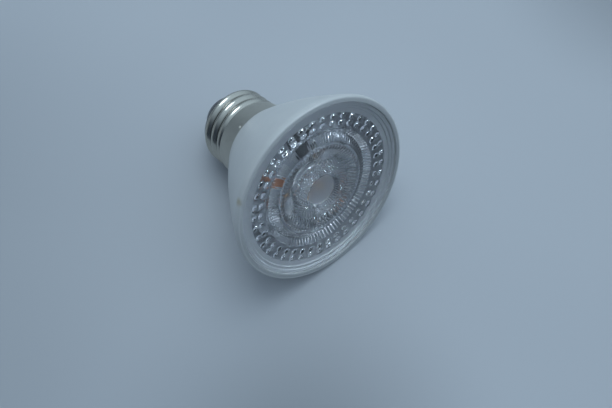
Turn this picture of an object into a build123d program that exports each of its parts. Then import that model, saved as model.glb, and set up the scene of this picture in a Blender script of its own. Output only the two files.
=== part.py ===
from build123d import *
import os
from math import cos, radians, sin

os.makedirs("parts", exist_ok=True)

# A reflector lamp that stands on its rim: the face is at the bottom and the screw cap at the top.
# All sizes are millimetres. The origin is the middle of the rim, +Z runs along the lamp to the cap.

# Housing
rim_radius = 31.5
rim_height = 1.8
rim_chamfer = 0.5
rim_wall = 1.8
ledge_width = 0.8
flank_bulge = 0.9
neck_radius = 15.0
neck_height = 30.0
housing_wall = 1.7
spigot_wall = 1.0
lead_slot_reach = 4.0
lead_slot_width = 1.4
lead_slot_depth = 1.8

# Screw cap
cap_length = 28.4
shell_length = 20.0
shell_wall = 0.4
skirt_setback = 0.2
skirt_length = 8.0
skirt_step = 0.9
thread_crest_radius = 13.2
thread_root_radius = 12.1
thread_pitch = 3.629
thread_crest_width = 1.0
thread_base_width = 2.8
thread_runout = 0.8
thread_start_angle = 126.0
lip_radius = 10.2
insulator_flange = 1.6
nose_radius = 6.2
contact_plate_radius = 5.6
contact_plate_thickness = 0.6
sleeve_wall = 0.5
sleeve_length = 4.0
pin_head_radius = 4.4
pin_head_thickness = 1.0
pin_head_chamfer = 0.3
pin_radius = 1.3
pin_length = 6.0
pin_bore_radius = 0.45
pin_bore_depth = 4.0

# Lens
lens_recess = 0.5
flange_thickness = 2.0
lens_step_width = 2.15
lens_step_depth = 1.0
prism_flutes = 48
prism_flute_depth = 0.4
prism_radius = 20.6
prism_height = 3.0
prism_taper = 1.2
prism_wall = 4.7
prism_tip_wall = 0.8
collimator_flutes = 36
collimator_flute_depth = 0.5
collimator_radius = 15.2
foot_radius = 8.4
cavity_radius = 7.0
cavity_depth = 4.3
boss_base_radius = 10.4
boss_rise = 1.35
boss_lip = 0.4
bowl_radius = 6.0
bowl_depth = 1.6
bowl_draft = 0.9

# Board, heat sink and light sources
board_depth = 10.2
board_thickness = 1.2
sink_floor = 1.5
sink_wall = 1.2
sink_lip = 3.5
led_count = 6
led_ring_radius = 4.7
led_length = 3.5
led_width = 2.8
led_height = 0.8
phosphor_margin = 0.4
phosphor_depth = 0.3

# Parts on the board
chip_length = 4.9
chip_width = 3.9
chip_height = 1.5
leg_length = 0.9
leg_width = 0.45
leg_thickness = 0.25
chip_side_legs = 4
chip_leg_pitch = 1.27
rectifier_length = 4.7
rectifier_width = 4.2
rectifier_height = 1.6
rectifier_side_legs = 2
rectifier_leg_pitch = 2.5
resistor_length = 3.2
resistor_width = 1.6
resistor_height = 0.6
capacitor_length = 4.5
capacitor_width = 3.2
capacitor_height = 1.9
terminal_length = 0.5
chip_inset = 5.4
edge_inset = 2.6
inner_row_gap = 3.9
rectifier_inset = 3.8

# Leads
lead_radius = 0.5
lead_hole_clearance = 0.3
lead_wall_gap = 0.2
lead_slot_gap = 0.3
live_angle = 105.0
neutral_angle = 135.0
solder_radius = 1.2
solder_height = 0.8
lead_bend = 2.0
lead_end_bend = 1.2
lead_rise = 3.0
resistor_body_radius = 1.6
resistor_body_length = 7.0
resistor_wire_radius = 0.35
resistor_tail = 1.5
resistor_drop = 6.0

# Clearances
lens_clearance = 0.15
sink_clearance = 0.1
board_clearance = 0.6
optic_gap = 0.3
cap_clearance = 0.1

# Levels along the lamp
lens_front = lens_recess
plate_front = lens_front + lens_step_depth
boss_front = plate_front - boss_rise
flange_back = lens_front + flange_thickness
board_front = board_depth
sink_front = board_front + board_thickness
sink_back = sink_front + sink_floor
sink_rim = sink_front - sink_lip
foot_level = board_front - optic_gap
prism_tip = flange_back + prism_height
shell_end = neck_height + shell_length
skirt_end = neck_height + skirt_length
thread_start = skirt_end + skirt_step
cap_end = neck_height + cap_length
nose_end = cap_end - pin_head_thickness - contact_plate_thickness
spigot_end = shell_end - shell_wall - insulator_flange

# Radii that follow from the fits
mouth_radius = rim_radius - rim_wall
ledge_radius = mouth_radius - ledge_width
lens_radius = mouth_radius - lens_clearance
lens_step_radius = lens_radius - lens_step_width
thread_depth = thread_crest_radius - thread_root_radius
shell_bore = thread_root_radius - shell_wall
spigot_radius = shell_bore - cap_clearance
spigot_bore = spigot_radius - spigot_wall
skirt_radius = neck_radius - skirt_setback
sleeve_bore = pin_radius + cap_clearance
sleeve_radius = sleeve_bore + sleeve_wall
lead_hole = lead_radius + lead_hole_clearance
lead_row = spigot_bore - lead_wall_gap - lead_radius


def inner_wall(level):
    """Radius of the housing's inner wall at a level between the lens ledge and the neck's floor."""
    share = (level - flange_back) / (neck_height - housing_wall - flange_back)
    return ledge_radius + (neck_radius - housing_wall - ledge_radius) * share


def sink_wall_radius(level):
    """Outer radius of the heat sink where it sits inside the housing's inner wall."""
    return inner_wall(level) - sink_clearance


board_radius = sink_wall_radius(sink_front) - sink_wall - board_clearance
chip_row = board_radius - chip_inset
edge_row = board_radius - edge_inset
inner_row = foot_radius + inner_row_gap
mid_row = (inner_row + chip_row) / 2
rectifier_row = board_radius - rectifier_inset


def polar(radius, angle):
    """Point at a distance from the lamp's axis and an angle in degrees from +X."""
    return (radius * cos(radians(angle)), radius * sin(radians(angle)))


def board_spot(radius, angle, turn=0.0):
    """Place on the board's front face, turned from the radial direction by some degrees."""
    x, y = polar(radius, angle)
    return Location((x, y, board_front), (0, 0, angle + turn))


ON_BOARD = (Align.CENTER, Align.CENTER, Align.MAX)
UNDER_TOP = (Align.CENTER, Align.CENTER, Align.MIN)

# Housing: rim, bulged flank, neck shoulder and spigot as one moulding
with BuildPart() as housing:
    with BuildSketch(Plane.XZ):
        with BuildLine():
            rim = Polyline(
                (mouth_radius, 0),
                (rim_radius - rim_chamfer, 0),
                (rim_radius, rim_chamfer),
                (rim_radius, rim_height),
            )
            flank = SagittaArc(rim @ 1, (neck_radius, neck_height), -flank_bulge)
            Polyline(
                flank @ 1,
                (spigot_radius, neck_height),
                (spigot_radius, spigot_end),
                (spigot_bore, spigot_end),
                (spigot_bore, neck_height - housing_wall),
                (neck_radius - housing_wall, neck_height - housing_wall),
                (ledge_radius, flange_back),
                (mouth_radius, flange_back),
                (mouth_radius, 0),
            )
        make_face()
    revolve(axis=Axis.Z)
    with BuildSketch(Plane.XY.offset(spigot_end).rotated((0, 0, neutral_angle))):
        with Locations((spigot_radius, 0)):
            Rectangle(lead_slot_reach, lead_slot_width)
    extrude(amount=-lead_slot_depth, mode=Mode.SUBTRACT)
housing.part.label = "housing"
export_step(housing.part, "parts/housing.step")

lead_spots = [polar(lead_row, live_angle), polar(lead_row, neutral_angle)]

# Heat sink: aluminium dish wedged in the housing's tapered wall
with BuildPart() as heat_sink:
    with BuildSketch(Plane.XZ):
        with BuildLine():
            Polyline(
                (0, sink_front),
                (sink_wall_radius(sink_front) - sink_wall, sink_front),
                (sink_wall_radius(sink_rim) - sink_wall, sink_rim),
                (sink_wall_radius(sink_rim), sink_rim),
                (sink_wall_radius(sink_back), sink_back),
                (0, sink_back),
                close=True,
            )
        make_face()
    revolve(axis=Axis.Z)
    with BuildSketch(Plane.XY.offset(sink_front)):
        with Locations(*lead_spots):
            Circle(lead_hole)
    extrude(amount=sink_floor, mode=Mode.SUBTRACT)
heat_sink.part.label = "heat_sink"
export_step(heat_sink.part, "parts/heat_sink.step")

# Board: round metal-core plate on the heat sink's floor, with holes for the two leads
with BuildPart() as led_board:
    with BuildSketch(Plane.XY.offset(board_front)):
        Circle(board_radius)
        with Locations(*lead_spots):
            Circle(lead_hole, mode=Mode.SUBTRACT)
    extrude(amount=board_thickness)
led_board.part.label = "led_board"
export_step(led_board.part, "parts/led_board.step")

# Light sources: one package in the middle and a ring around it, each with a recessed phosphor
led_spots = [board_spot(0, 0)]
for index in range(led_count):
    led_spots.append(board_spot(led_ring_radius, index * 360 / led_count))
phosphor_length = led_length - 2 * phosphor_margin
phosphor_width = led_width - 2 * phosphor_margin

with BuildPart() as led_phosphors:
    with Locations(*led_spots):
        with Locations((0, 0, -led_height)):
            Box(phosphor_length, phosphor_width, phosphor_depth, align=UNDER_TOP)
led_phosphors.part.label = "led_phosphors"
export_step(led_phosphors.part, "parts/led_phosphors.step")

with BuildPart() as led_packages:
    with Locations(*led_spots):
        Box(led_length, led_width, led_height, align=ON_BOARD)
    add(led_phosphors.part, mode=Mode.SUBTRACT)
led_packages.part.label = "led_packages"
export_step(led_packages.part, "parts/led_packages.step")

# Chips and the rectifier stand in the band between the lens foot and the board's edge
chip_spots = [board_spot(chip_row, -88, 90), board_spot(chip_row, 115, 90)]
rectifier_spot = board_spot(rectifier_row, -16, 90)

with BuildPart() as driver_chips:
    with Locations(*chip_spots):
        Box(chip_length, chip_width, chip_height, align=ON_BOARD)
driver_chips.part.label = "driver_chips"
export_step(driver_chips.part, "parts/driver_chips.step")

with BuildPart() as rectifier:
    with Locations(rectifier_spot):
        Box(rectifier_length, rectifier_width, rectifier_height, align=ON_BOARD)
rectifier.part.label = "rectifier"
export_step(rectifier.part, "parts/rectifier.step")

with BuildPart() as chip_legs:
    with Locations(*chip_spots):
        for side in (-1, 1):
            with Locations((0, side * (chip_width + leg_length) / 2)):
                with GridLocations(chip_leg_pitch, 0, chip_side_legs, 1):
                    Box(leg_width, leg_length, leg_thickness, align=ON_BOARD)
    with Locations(rectifier_spot):
        for side in (-1, 1):
            with Locations((0, side * (rectifier_width + leg_length) / 2)):
                with GridLocations(rectifier_leg_pitch, 0, rectifier_side_legs, 1):
                    Box(leg_width, leg_length, leg_thickness, align=ON_BOARD)
chip_legs.part.label = "chip_legs"
export_step(chip_legs.part, "parts/chip_legs.step")

# Chip resistors and ceramic capacitors, each with a tinned terminal at both ends
resistor_spots = [
    board_spot(mid_row, 169, 90),
    board_spot(mid_row, 153, 90),
    board_spot(edge_row, -175, 90),
    board_spot(chip_row, 84, 90),
    board_spot(inner_row, -60, 90),
    board_spot(chip_row, -70, 0),
    board_spot(chip_row, 14, 90),
]
capacitor_spots = [
    board_spot(chip_row, -138, 90),
    board_spot(mid_row, -164, 90),
    board_spot(inner_row, 44, 90),
    board_spot(chip_row, 65, 90),
]

with BuildPart() as chip_resistors:
    with Locations(*resistor_spots):
        Box(resistor_length - 2 * terminal_length, resistor_width, resistor_height, align=ON_BOARD)
chip_resistors.part.label = "chip_resistors"
export_step(chip_resistors.part, "parts/chip_resistors.step")

with BuildPart() as ceramic_capacitors:
    with Locations(*capacitor_spots):
        Box(capacitor_length - 2 * terminal_length, capacitor_width, capacitor_height, align=ON_BOARD)
ceramic_capacitors.part.label = "ceramic_capacitors"
export_step(ceramic_capacitors.part, "parts/ceramic_capacitors.step")

with BuildPart() as chip_terminals:
    with Locations(*resistor_spots):
        with GridLocations(resistor_length - terminal_length, 0, 2, 1):
            Box(terminal_length, resistor_width, resistor_height, align=ON_BOARD)
    with Locations(*capacitor_spots):
        with GridLocations(capacitor_length - terminal_length, 0, 2, 1):
            Box(terminal_length, capacitor_width, capacitor_height, align=ON_BOARD)
chip_terminals.part.label = "chip_terminals"
export_step(chip_terminals.part, "parts/chip_terminals.step")


def fluted_corners(ridge_radius, valley_radius, flutes):
    """Corners of a closed zigzag of flutes between a ridge circle and a valley circle."""
    step = 180 / flutes
    radii = (ridge_radius, valley_radius)
    return [polar(radii[index % 2], index * step) for index in range(2 * flutes)]


prism_tip_radius = prism_radius - prism_taper
prism_valley = 1 - prism_flute_depth / prism_radius
collimator_valley = 1 - collimator_flute_depth / collimator_radius

# Lens: flanged plate with a bowl in a raised boss, a fluted prism ring and a fluted collimator behind
with BuildPart() as lens:
    with BuildSketch(Plane.XZ):
        with BuildLine():
            Polyline(
                (0, boss_front + bowl_depth),
                (bowl_radius - bowl_draft, boss_front + bowl_depth),
                (bowl_radius, boss_front),
                (bowl_radius + boss_lip, boss_front),
                (boss_base_radius, plate_front),
                (lens_step_radius, plate_front),
                (lens_step_radius, lens_front),
                (lens_radius, lens_front),
                (lens_radius, flange_back),
                (0, flange_back),
                close=True,
            )
        make_face()
    revolve(axis=Axis.Z)
    with BuildSketch(Plane.XY.offset(flange_back)):
        Polygon(*fluted_corners(prism_radius, prism_valley * prism_radius, prism_flutes), align=None)
    with BuildSketch(Plane.XY.offset(prism_tip)):
        Polygon(*fluted_corners(prism_tip_radius, prism_valley * prism_tip_radius, prism_flutes), align=None)
    loft(ruled=True)
    with BuildSketch(Plane.XZ):
        with BuildLine():
            Polyline(
                (0, flange_back),
                (prism_radius - prism_wall, flange_back),
                (prism_tip_radius - prism_tip_wall, prism_tip),
                (0, prism_tip),
                close=True,
            )
        make_face()
    revolve(axis=Axis.Z, mode=Mode.SUBTRACT)
    with BuildSketch(Plane.XY.offset(flange_back)):
        Polygon(
            *fluted_corners(collimator_radius, collimator_valley * collimator_radius, collimator_flutes),
            align=None,
        )
    with BuildSketch(Plane.XY.offset(foot_level)):
        Polygon(
            *fluted_corners(foot_radius, collimator_valley * foot_radius, collimator_flutes),
            align=None,
        )
    loft(ruled=True)
    with BuildSketch(Plane.XY.offset(foot_level)):
        Circle(cavity_radius)
    extrude(amount=-cavity_depth, mode=Mode.SUBTRACT)
lens.part.label = "lens"
export_step(lens.part, "parts/lens.step")

# Thread ridge: a trapezoid wound up the shell, from the skirt to the run-out at the end
with BuildPart() as thread_ridge:
    with BuildLine():
        wind = Helix(
            pitch=thread_pitch,
            height=shell_end - thread_start + thread_pitch / 2,
            radius=thread_root_radius,
            center=(0, 0, thread_start),
        )
    with BuildSketch(Plane(origin=wind @ 0, x_dir=(1, 0, 0), z_dir=wind % 0)):
        with BuildLine():
            Polyline(
                (-shell_wall / 2, -thread_base_width / 2),
                (thread_depth, -thread_crest_width / 2),
                (thread_depth, thread_crest_width / 2),
                (-shell_wall / 2, thread_base_width / 2),
                close=True,
            )
        make_face()
    sweep(path=wind, is_frenet=True)
    split(bisect_by=Plane.XY.offset(shell_end - thread_runout), keep=Keep.BOTTOM)

# Shell body: flared skirt, threaded tube and an end rolled in over the insulator
with BuildPart() as shell_body:
    with BuildSketch(Plane.XZ):
        with BuildLine():
            Polyline(
                (skirt_radius - shell_wall, neck_height),
                (skirt_radius, neck_height),
                (thread_crest_radius, skirt_end),
                (thread_root_radius, thread_start),
                (thread_root_radius, shell_end - thread_runout),
                (shell_bore, shell_end),
                (lip_radius, shell_end),
                (lip_radius, shell_end - shell_wall),
                (shell_bore, shell_end - shell_wall),
                (shell_bore, thread_start),
                (thread_crest_radius - shell_wall, skirt_end),
                close=True,
            )
        make_face()
    revolve(axis=Axis.Z)
    add(thread_ridge.part)

# Screw shell: the shell body turned to where its thread starts
with BuildPart() as screw_shell:
    add(shell_body.part, rotation=(0, 0, thread_start_angle))
screw_shell.part.label = "screw_shell"
export_step(screw_shell.part, "parts/screw_shell.step")

# Insulator: flange held under the shell's lip, cone out to the contact
with BuildPart() as cap_insulator:
    with BuildSketch(Plane.XZ):
        with BuildLine():
            Polyline(
                (sleeve_radius + cap_clearance, spigot_end),
                (spigot_radius, spigot_end),
                (spigot_radius, shell_end - shell_wall),
                (lip_radius - cap_clearance, shell_end - shell_wall),
                (lip_radius - cap_clearance, shell_end),
                (nose_radius, nose_end),
                (sleeve_radius + cap_clearance, nose_end),
                close=True,
            )
        make_face()
    revolve(axis=Axis.Z)
cap_insulator.part.label = "cap_insulator"
export_step(cap_insulator.part, "parts/cap_insulator.step")

# Centre contact: brass eyelet with a plate on the insulator's nose and a sleeve through it
with BuildPart() as centre_contact:
    with BuildSketch(Plane.XZ):
        with BuildLine():
            Polyline(
                (sleeve_bore, nose_end - sleeve_length),
                (sleeve_radius, nose_end - sleeve_length),
                (sleeve_radius, nose_end),
                (contact_plate_radius, nose_end),
                (contact_plate_radius, nose_end + contact_plate_thickness),
                (sleeve_bore, nose_end + contact_plate_thickness),
                close=True,
            )
        make_face()
    revolve(axis=Axis.Z)
centre_contact.part.label = "centre_contact"
export_step(centre_contact.part, "parts/centre_contact.step")

# Contact pin: tubular rivet whose head is the lamp's end contact
pin_tip = cap_end - pin_head_thickness - pin_length
with BuildPart() as contact_pin:
    with BuildSketch(Plane.XZ):
        with BuildLine():
            Polyline(
                (0, cap_end),
                (pin_head_radius - pin_head_chamfer, cap_end),
                (pin_head_radius, cap_end - pin_head_chamfer),
                (pin_head_radius, cap_end - pin_head_thickness),
                (pin_radius, cap_end - pin_head_thickness),
                (pin_radius, pin_tip),
                (pin_bore_radius, pin_tip),
                (pin_bore_radius, pin_tip + pin_bore_depth),
                (0, pin_tip + pin_bore_depth),
                close=True,
            )
        make_face()
    revolve(axis=Axis.Z)
contact_pin.part.label = "contact_pin"
export_step(contact_pin.part, "parts/contact_pin.step")

# Fusible resistor: axial body in the neck, its upper wire crimped in the contact pin
body_base = neck_height - resistor_drop
with BuildPart() as fusible_resistor:
    with BuildSketch(Plane.XZ):
        with BuildLine():
            Polyline(
                (0, body_base - resistor_tail),
                (resistor_wire_radius, body_base - resistor_tail),
                (resistor_wire_radius, body_base),
                (resistor_body_radius, body_base),
                (resistor_body_radius, body_base + resistor_body_length),
                (resistor_wire_radius, body_base + resistor_body_length),
                (resistor_wire_radius, pin_tip + pin_bore_depth),
                (0, pin_tip + pin_bore_depth),
                close=True,
            )
        make_face()
    revolve(axis=Axis.Z)
fusible_resistor.part.label = "fusible_resistor"
export_step(fusible_resistor.part, "parts/fusible_resistor.step")

# Live lead: from the board up to the fusible resistor
live_x, live_y = polar(lead_row, live_angle)
with BuildPart() as live_lead:
    with BuildLine() as live_route:
        FilletPolyline(
            (live_x, live_y, board_front),
            (live_x, live_y, sink_back + lead_rise),
            (0, 0, body_base - resistor_tail - lead_rise),
            (0, 0, body_base - resistor_tail),
            radius=lead_bend,
        )
    with BuildSketch(Plane.XY.offset(board_front)):
        with Locations((live_x, live_y)):
            Circle(lead_radius)
    sweep(path=live_route.wires()[0])
live_lead.part.label = "live_lead"
export_step(live_lead.part, "parts/live_lead.step")

# Neutral lead: from the board straight up the neck and out through the spigot's slot to the shell
neutral_x, neutral_y = polar(lead_row, neutral_angle)
lead_end_x, lead_end_y = polar(spigot_radius, neutral_angle)
slot_level = spigot_end - lead_slot_gap - lead_radius
with BuildPart() as neutral_lead:
    with BuildLine() as neutral_route:
        FilletPolyline(
            (neutral_x, neutral_y, board_front),
            (neutral_x, neutral_y, slot_level),
            (lead_end_x, lead_end_y, slot_level),
            radius=lead_end_bend,
        )
    with BuildSketch(Plane.XY.offset(board_front)):
        with Locations((neutral_x, neutral_y)):
            Circle(lead_radius)
    sweep(path=neutral_route.wires()[0])
neutral_lead.part.label = "neutral_lead"
export_step(neutral_lead.part, "parts/neutral_lead.step")

# Solder joints: a cone over each lead's end on the board
with BuildPart() as solder_joints:
    with Locations((live_x, live_y, board_front), (neutral_x, neutral_y, board_front)):
        Cone(solder_radius / 2, solder_radius, solder_height, align=ON_BOARD)
solder_joints.part.label = "solder_joints"
export_step(solder_joints.part, "parts/solder_joints.step")
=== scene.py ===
"""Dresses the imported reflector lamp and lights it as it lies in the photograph.

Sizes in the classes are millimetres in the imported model's own frame: the lamp's face looks along -Z
and its screw cap ends at +Z. Meshes are written in metres.
"""

import logging
import math
from dataclasses import dataclass, field, replace
from enum import Enum
from functools import lru_cache
from typing import List, Mapping, Optional, Protocol, Sequence, Tuple, Union

import bmesh
import bpy
import numpy as np
from mathutils import Matrix, Vector


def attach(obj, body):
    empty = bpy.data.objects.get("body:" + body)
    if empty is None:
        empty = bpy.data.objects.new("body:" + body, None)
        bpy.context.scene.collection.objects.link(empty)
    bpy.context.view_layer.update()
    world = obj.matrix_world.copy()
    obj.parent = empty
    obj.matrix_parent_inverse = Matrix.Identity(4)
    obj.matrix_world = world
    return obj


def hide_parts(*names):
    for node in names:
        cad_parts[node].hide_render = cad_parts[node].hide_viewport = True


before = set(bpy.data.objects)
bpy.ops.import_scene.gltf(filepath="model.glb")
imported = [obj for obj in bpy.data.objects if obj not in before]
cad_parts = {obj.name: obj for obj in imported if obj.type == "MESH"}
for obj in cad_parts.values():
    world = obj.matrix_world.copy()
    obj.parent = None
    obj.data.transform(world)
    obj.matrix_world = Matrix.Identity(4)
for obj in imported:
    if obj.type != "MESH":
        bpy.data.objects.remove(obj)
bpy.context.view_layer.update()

MM = 0.001
FULL_TURN = 2 * math.pi
NOISE_MIDDLE = 0.5
ROOT_BODY = "root"
log = logging.getLogger("lamp")

Span = Tuple[float, float]
Triple = Tuple[float, float, float]
Piece = bpy.types.Object
Material = bpy.types.Material
Socket = bpy.types.NodeSocket
Loop = Sequence[bmesh.types.BMVert]


class Slot(Enum):
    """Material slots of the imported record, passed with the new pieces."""

    WHITE = "white_plastic"
    CLEAR = "clear_plastic"
    NICKEL = "nickel_plate"
    INSULATOR = "dark_insulator"
    BRASS = "brass"
    TIN = "tinned_metal"
    LED = "led_body"
    PHOSPHOR = "phosphor"
    CHIP = "chip_black"
    CAPACITOR = "capacitor_brown"


class Zone(Enum):
    """Relief of a row of points on the lens."""

    PLAIN = "plain"
    HATCH = "hatch"
    BEADS = "beads"
    PRISM = "prism"
    PRISM_INSIDE = "prism inside"
    COLLIMATOR = "collimator"


Row = Tuple[float, float, Zone]


# Shader tools


class Signal:
    """A value socket that takes part in Python arithmetic."""

    def __init__(self, bench: "Bench", socket: Socket) -> None:
        """Keeps the bench that owns the socket."""
        self.bench = bench
        self.socket = socket

    def math(self, operation: str, *values: "Value") -> "Signal":
        """Adds one Math node.

        Args:
            operation: Blender's name of the operation.
            values: the node's inputs in order.

        Returns:
            The node's result.
        """
        sockets = dict(enumerate(values))
        node = self.bench.node("ShaderNodeMath", {"operation": operation}, sockets)
        return Signal(self.bench, node.outputs[0])

    def __add__(self, other: "Value") -> "Signal":
        """Sum."""
        return self.math("ADD", self, other)

    def __radd__(self, other: "Value") -> "Signal":
        """Reflected sum."""
        return self.math("ADD", other, self)

    def __sub__(self, other: "Value") -> "Signal":
        """Difference."""
        return self.math("SUBTRACT", self, other)

    def __rsub__(self, other: "Value") -> "Signal":
        """Reflected difference."""
        return self.math("SUBTRACT", other, self)

    def __mul__(self, other: "Value") -> "Signal":
        """Product."""
        return self.math("MULTIPLY", self, other)

    def __rmul__(self, other: "Value") -> "Signal":
        """Reflected product."""
        return self.math("MULTIPLY", other, self)

    def __truediv__(self, other: "Value") -> "Signal":
        """Quotient."""
        return self.math("DIVIDE", self, other)

    def __pow__(self, other: "Value") -> "Signal":
        """Power."""
        return self.math("POWER", self, other)

    def larger(self, other: "Value") -> "Signal":
        """The larger of two values."""
        return self.math("MAXIMUM", self, other)

    def sine(self) -> "Signal":
        """Sine of a value in radians."""
        return self.math("SINE", self)

    def arc_tangent(self, other: "Value") -> "Signal":
        """Angle of the point (other, self), in radians."""
        return self.math("ARCTAN2", self, other)

    def rise(self, low: float, high: float) -> "Signal":
        """Goes smoothly from 0 at low to 1 at high.

        Args:
            low: the value that gives 0.
            high: the value that gives 1.

        Returns:
            The eased value.
        """
        sockets = {"Value": self, "From Min": low, "From Max": high}
        node = self.bench.node("ShaderNodeMapRange", {"interpolation_type": "SMOOTHSTEP"}, sockets)
        return Signal(self.bench, node.outputs[0])


Value = Union[float, Sequence[float], Signal, Socket]


@dataclass(frozen=True)
class Mottle:
    """A noise pattern of so many grains a millimetre, and how far it shows.

    It is eased between low and high, shifts the colour by tint and the roughness by rough, and
    stands out by depth millimetres, of which strength is the share that shows.
    """

    scale: float
    detail: float = 3.0
    low: float = 0.0
    high: float = 1.0
    tint: float = 0.0
    rough: float = 0.0
    depth: float = 0.0
    strength: float = 1.0


class Bench:
    """Builds the nodes of one material or of the room round the lamp."""

    def __init__(self, name: str, room: bool = False) -> None:
        """Starts with no nodes.

        Args:
            name: the material's or the room's name.
            room: whether it is the room.
        """
        self.owner = bpy.data.worlds.new(name) if room else bpy.data.materials.new(name)
        self.owner.use_nodes = True
        self.end = "ShaderNodeOutputWorld" if room else "ShaderNodeOutputMaterial"
        self.tree = self.owner.node_tree
        self.tree.nodes.clear()

    def node(
        self,
        kind: str,
        settings: Optional[Mapping[str, object]] = None,
        sockets: Optional[Mapping[Union[str, int], Value]] = None,
    ) -> bpy.types.Node:
        """Adds a node.

        Args:
            kind: the node's type.
            settings: properties that are set before the sockets.
            sockets: values or links, by the socket's name or number.

        Returns:
            The new node.
        """
        made = self.tree.nodes.new(kind)
        for key, value in (settings or {}).items():
            setattr(made, key, value)
        for key, value in (sockets or {}).items():
            target = made.inputs[key]
            source = value.socket if isinstance(value, Signal) else value
            if isinstance(source, Socket):
                self.tree.links.new(source, target)
            elif target.type == "RGBA":
                target.default_value = (*source, 1.0)
            else:
                target.default_value = source
        return made

    def place(self) -> Tuple[Signal, Signal, Signal]:
        """The surface point in millimetres.

        Returns:
            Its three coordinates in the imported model's frame.
        """
        coords = self.node("ShaderNodeTexCoord").outputs["Object"]
        split = self.node("ShaderNodeSeparateXYZ", None, {0: coords})
        return tuple(Signal(self, out) / MM for out in split.outputs)

    def polar(self) -> Tuple[Signal, Signal, Signal]:
        """Radius, angle in radians and level of the surface point about the lamp's axis."""
        x, y, z = self.place()
        return (x * x + y * y) ** 0.5, y.arc_tangent(x), z

    def vector(self, x: Value, y: Value, z: Value) -> Socket:
        """Joins three values into a vector."""
        return self.node("ShaderNodeCombineXYZ", None, {0: x, 1: y, 2: z}).outputs[0]

    def noise(self, kind: Mottle, where: Optional[Value] = None) -> Signal:
        """Noise between 0 and 1, not eased.

        Args:
            kind: how fine it is and how many finer layers it has.
            where: the point that it is read at, the surface point if left out.

        Returns:
            The noise.
        """
        point = self.vector(*self.place()) if where is None else where
        sockets = {"Vector": point, "Scale": kind.scale, "Detail": kind.detail}
        return Signal(self, self.node("ShaderNodeTexNoise", None, sockets).outputs[0])

    def mottle(self, kind: Mottle) -> Signal:
        """Noise that is eased between the pattern's limits."""
        return self.noise(kind).rise(kind.low, kind.high)

    def blend(self, share: Value, first: Value, second: Value) -> Socket:
        """Mixes two colours, the first at a share of 0 and the second at 1."""
        sockets = {0: share, 6: first, 7: second}
        return self.node("ShaderNodeMix", {"data_type": "RGBA"}, sockets).outputs[2]

    def bump(self, height: Value, kind: Mottle) -> Socket:
        """Turns a height between 0 and 1 into a normal, as deep as the pattern says."""
        sockets = {"Height": height, "Distance": kind.depth * MM, "Strength": kind.strength}
        return self.node("ShaderNodeBump", None, sockets).outputs[0]

    def shader(self, **sockets: Value) -> Socket:
        """Adds one surface shader, its sockets named with underscores for spaces."""
        named = {key.replace("_", " "): value for key, value in sockets.items()}
        return self.node("ShaderNodeBsdfPrincipled", None, named).outputs[0]

    def surface(self, **sockets: Value) -> Material:
        """Ends the material in one shader with these sockets."""
        return self.close(self.shader(**sockets))

    def mixed(self, share: Value, first: Socket, second: Socket) -> Material:
        """Ends the material in a mix of two shaders, all of the second at a share of 1."""
        sockets = {0: share, 1: first, 2: second}
        return self.close(self.node("ShaderNodeMixShader", None, sockets).outputs[0])

    def close(self, shader: Socket) -> bpy.types.ID:
        """Links a shader to the output."""
        self.node(self.end, None, {0: shader})
        return self.owner


# Finishes


class Finish(Protocol):
    """Anything that can make a material."""

    def make(self) -> Material:
        """Builds the material."""


@lru_cache(maxsize=None)
def paint(finish: Finish) -> Material:
    """The material of a finish, built on first use."""
    return finish.make()


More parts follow.
